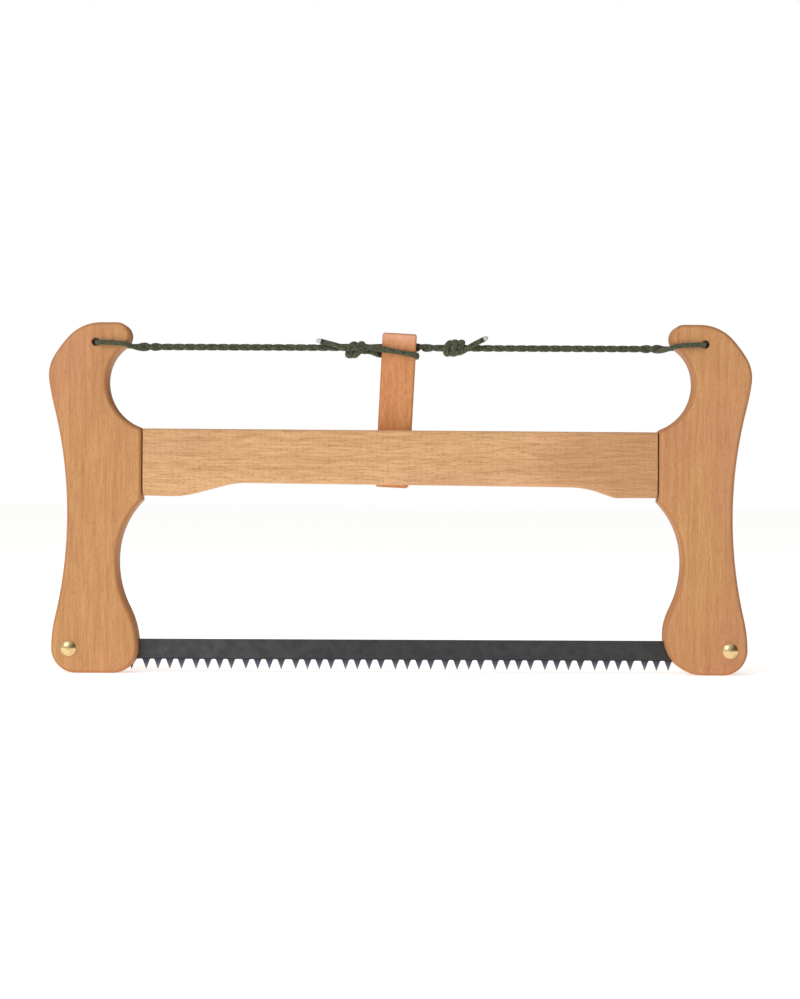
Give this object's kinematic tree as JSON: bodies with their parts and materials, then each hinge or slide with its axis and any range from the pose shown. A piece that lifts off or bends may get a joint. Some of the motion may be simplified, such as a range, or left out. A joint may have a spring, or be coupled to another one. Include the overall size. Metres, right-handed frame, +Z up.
{
  "type": "bow saw",
  "caption": "Wooden-framed bow saw with two shaped handles, a crossbar, a toothed steel blade on brass posts and a twisted cord with a toggle.",
  "frame": {"origin": "under the centre of the bounding box, on the surface that the two handle feet stand on", "axes": "+X along the saw from the left handle to the right one, +Y through its thickness to the back, +Z up from the blade to the cord"},
  "size_m": [0.5644, 0.0411, 0.2815],
  "materials": {
    "handle_wood": "oiled",
    "crossbar_wood": "oiled",
    "toggle_wood": "oiled",
    "blade_steel": "satin",
    "brass": "polished",
    "cord": "braided",
    "cord_tip": "melted"
  },
  "bodies": {
    "frame": {"crossbar": "crossbar_wood", "cord_left_span": "cord", "cord_right_span": "cord"},
    "left_handle": {"left_handle": "handle_wood", "left_barrel_nut": "brass", "cord_left_eye": "cord"},
    "right_handle": {"right_handle": "handle_wood", "right_barrel_nut": "brass", "cord_right_eye": "cord"},
    "blade": {"blade": "blade_steel"},
    "left_screw": {"left_binding_screw": "brass"},
    "right_screw": {"right_binding_screw": "brass"},
    "windlass": {"cord_left_knot": "cord", "cord_right_knot": "cord", "cord_back_bundle": "cord", "cord_front_strand": "cord", "cord_left_tail": "cord", "cord_right_tail": "cord", "cord_left_tip": "cord_tip", "cord_right_tip": "cord_tip"},
    "toggle": {"toggle": "toggle_wood"}
  },
  "joints": [
    {"name": "left_handle_rock", "type": "hinge", "parent": "frame", "child": "left_handle", "pos_m": [-0.2063, -0.0058, 0.1695], "axis": [0, 1, 0], "range_deg": [-2, 2], "deforming": ["cord_left_span", "cord_right_span"]},
    {"name": "right_handle_rock", "type": "hinge", "parent": "frame", "child": "right_handle", "pos_m": [0.2063, -0.0058, 0.1695], "axis": [0, 1, 0], "range_deg": [-2.1, 2.1]},
    {"name": "blade_pivot", "type": "hinge", "parent": "left_handle", "child": "blade", "pos_m": [-0.265, -0.0058, 0.0198], "axis": [0, 1, 0], "range_deg": [-1.7, 1.7]},
    {"name": "left_screw_turn", "type": "hinge", "parent": "left_handle", "child": "left_screw", "pos_m": [-0.265, -0.0058, 0.0198], "axis": [0, 1, 0], "continuous": true},
    {"name": "right_screw_turn", "type": "hinge", "parent": "right_handle", "child": "right_screw", "pos_m": [0.265, -0.0058, 0.0198], "axis": [0, 1, 0], "continuous": true},
    {"name": "toggle_turn", "type": "hinge", "parent": "frame", "child": "windlass", "pos_m": [0, -0.0058, 0.2624], "axis": [1, 0, 0], "range_deg": [0, 330], "deforming": ["cord_left_span", "cord_right_span"]},
    {"name": "toggle_slide", "type": "slide", "parent": "windlass", "child": "toggle", "axis": [0.0489, -0.1494, 0.9876], "range_m": [0, 0.052]}
  ],
  "couplings": [
    {"joint": "right_handle_rock", "follows": "left_handle_rock", "ratio": 1},
    {"joint": "blade_pivot", "follows": "left_handle_rock", "ratio": -0.7785}
  ]
}
